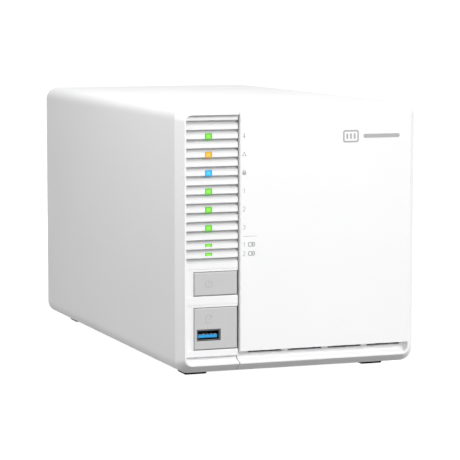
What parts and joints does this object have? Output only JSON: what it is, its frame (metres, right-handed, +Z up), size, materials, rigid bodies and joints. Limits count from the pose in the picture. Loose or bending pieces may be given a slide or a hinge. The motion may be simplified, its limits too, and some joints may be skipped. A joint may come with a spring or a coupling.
{
  "type": "network attached storage",
  "caption": "Desktop network attached storage with a louvred front strip, status lights, two front buttons, a USB socket and a pull-off door over upright drive trays.",
  "frame": {"origin": "middle of the footprint, on the surface that the feet stand on", "axes": "+X to the right seen from the front, +Y to the rear, +Z up; the front faces -Y"},
  "size_m": [0.142, 0.26, 0.15],
  "materials": {
    "white_shell": "satin moulded plastic with a fine even texture",
    "white_door": "smooth satin-gloss white plastic",
    "white_bezel": "satin white plastic",
    "grey_button": "satin light grey plastic",
    "light_green": "lit translucent light pipe",
    "light_amber": "lit translucent light pipe",
    "light_blue": "lit translucent light pipe",
    "usb_blue": "moulded insulator",
    "contact_gold": "gold plated",
    "socket_steel": "tin plated sheet",
    "cage_steel": "zinc plated sheet steel",
    "panel_steel": "textured powder coat, light grey",
    "screw_steel": "nickel plated",
    "magnet": "nickel plated magnet",
    "foot_rubber": "matt black rubber",
    "black_plastic": "fine texture",
    "tray_plastic": "fine texture",
    "lever_plastic": "fine texture",
    "release_blue": "satin",
    "board_green": "solder mask over glass fibre board",
    "drive_metal": "cast and milled housing with a pressed lid",
    "heatsink_aluminium": "extruded, clear anodised",
    "cell_steel": "polished cell can",
    "fan_black": "satin black plastic",
    "socket_black": "satin black plastic",
    "pcb_black": "black solder mask with chips",
    "light_chip": "white package"
  },
  "bodies": {
    "enclosure": {"backplane_board": "board_green", "board_link": "socket_black", "board_screws": "screw_steel", "board_standoffs": "screw_steel", "cage_dividers": "cage_steel", "cage_flange": "cage_steel", "cage_floor": "cage_steel", "cage_roof": "cage_steel", "cage_sides": "cage_steel", "coin_cell": "cell_steel", "coin_holder": "socket_black", "fan_frame": "fan_black", "front_bezel": "white_bezel", "front_board": "board_green", "front_usb_contacts": "contact_gold", "front_usb_shell": "socket_steel", "front_usb_tongue": "usb_blue", "guide_rails": "black_plastic", "hdmi_socket": "socket_steel", "heat_sink": "heatsink_aluminium", "lan_socket": "socket_steel", "left_cover": "white_shell", "light_chips": "light_chip", "light_pipe_amber": "light_amber", "light_pipe_blue": "light_blue", "light_pipes_green": "light_green", "main_board": "board_green", "main_housing": "white_shell", "memory_module": "pcb_black", "module_sockets": "socket_black", "power_socket": "socket_black", "push_switches": "black_plastic", "rear_panel": "panel_steel", "rear_screws": "screw_steel", "rear_usb_shells": "socket_steel", "rear_usb_tongues": "usb_blue", "rubber_feet": "foot_rubber", "sata_sockets": "socket_black", "ssd_modules": "pcb_black"},
    "front_door": {"front_door": "white_door", "door_magnets": "magnet"},
    "power_button": {"power_button": "grey_button"},
    "copy_button": {"copy_button": "grey_button"},
    "reset_button": {"reset_button": "black_plastic"},
    "fan_rotor": {"fan_rotor": "fan_black"},
    "tray_1": {"tray_1": "tray_plastic", "hard_drive_1": "drive_metal", "drive_clips_1": "lever_plastic"},
    "lever_1": {"tray_lever_1": "lever_plastic"},
    "release_1": {"tray_release_1": "release_blue"},
    "tray_2": {"tray_2": "tray_plastic", "hard_drive_2": "drive_metal", "drive_clips_2": "lever_plastic"},
    "lever_2": {"tray_lever_2": "lever_plastic"},
    "release_2": {"tray_release_2": "release_blue"},
    "tray_3": {"tray_3": "tray_plastic", "hard_drive_3": "drive_metal", "drive_clips_3": "lever_plastic"},
    "lever_3": {"tray_lever_3": "lever_plastic"},
    "release_3": {"tray_release_3": "release_blue"}
  },
  "joints": [
    {"name": "door_pull", "type": "slide", "parent": "enclosure", "child": "front_door", "axis": [0, -1, 0], "range_m": [0, 0.3]},
    {"name": "tray_1_slide", "type": "slide", "parent": "enclosure", "child": "tray_1", "axis": [0, -1, 0], "range_m": [0, 0.18]},
    {"name": "lever_1_swing", "type": "hinge", "parent": "tray_1", "child": "lever_1", "pos_m": [-0.0177, -0.1214, 0.0306], "axis": [1, 0, 0], "range_deg": [0, 60]},
    {"name": "release_1_press", "type": "slide", "parent": "tray_1", "child": "release_1", "axis": [0, 1, 0], "range_m": [0, 0.0015], "stiffness_N_per_m": 800, "springref_m": -0.001},
    {"name": "tray_2_slide", "type": "slide", "parent": "enclosure", "child": "tray_2", "axis": [0, -1, 0], "range_m": [0, 0.18]},
    {"name": "lever_2_swing", "type": "hinge", "parent": "tray_2", "child": "lever_2", "pos_m": [0.0161, -0.1214, 0.0306], "axis": [1, 0, 0], "range_deg": [0, 60]},
    {"name": "release_2_press", "type": "slide", "parent": "tray_2", "child": "release_2", "axis": [0, 1, 0], "range_m": [0, 0.0015], "stiffness_N_per_m": 800, "springref_m": -0.001},
    {"name": "tray_3_slide", "type": "slide", "parent": "enclosure", "child": "tray_3", "axis": [0, -1, 0], "range_m": [0, 0.18]},
    {"name": "lever_3_swing", "type": "hinge", "parent": "tray_3", "child": "lever_3", "pos_m": [0.0499, -0.1214, 0.0306], "axis": [1, 0, 0], "range_deg": [0, 60]},
    {"name": "release_3_press", "type": "slide", "parent": "tray_3", "child": "release_3", "axis": [0, 1, 0], "range_m": [0, 0.0015], "stiffness_N_per_m": 800, "springref_m": -0.001},
    {"name": "power_press", "type": "slide", "parent": "enclosure", "child": "power_button", "axis": [0, 1, 0], "range_m": [0, 0.0008], "stiffness_N_per_m": 600, "springref_m": -0.001},
    {"name": "copy_press", "type": "slide", "parent": "enclosure", "child": "copy_button", "axis": [0, 1, 0], "range_m": [0, 0.0008], "stiffness_N_per_m": 600, "springref_m": -0.001},
    {"name": "reset_press", "type": "slide", "parent": "enclosure", "child": "reset_button", "axis": [0, -1, 0], "range_m": [0, 0.0006], "stiffness_N_per_m": 600, "springref_m": -0.001},
    {"name": "fan_spin", "type": "hinge", "parent": "enclosure", "child": "fan_rotor", "pos_m": [0.0167, 0.1135, 0.077], "axis": [0, 1, 0], "continuous": true}
  ],
  "couplings": [
    {"joint": "tray_1_slide", "follows": "door_pull", "ratio": 0.6},
    {"joint": "lever_1_swing", "follows": "door_pull", "rad_per_m": 3.4872},
    {"joint": "tray_2_slide", "follows": "door_pull", "ratio": 0.6},
    {"joint": "lever_2_swing", "follows": "door_pull", "rad_per_m": 3.4872},
    {"joint": "tray_3_slide", "follows": "door_pull", "ratio": 0.6},
    {"joint": "lever_3_swing", "follows": "door_pull", "rad_per_m": 3.4872}
  ]
}
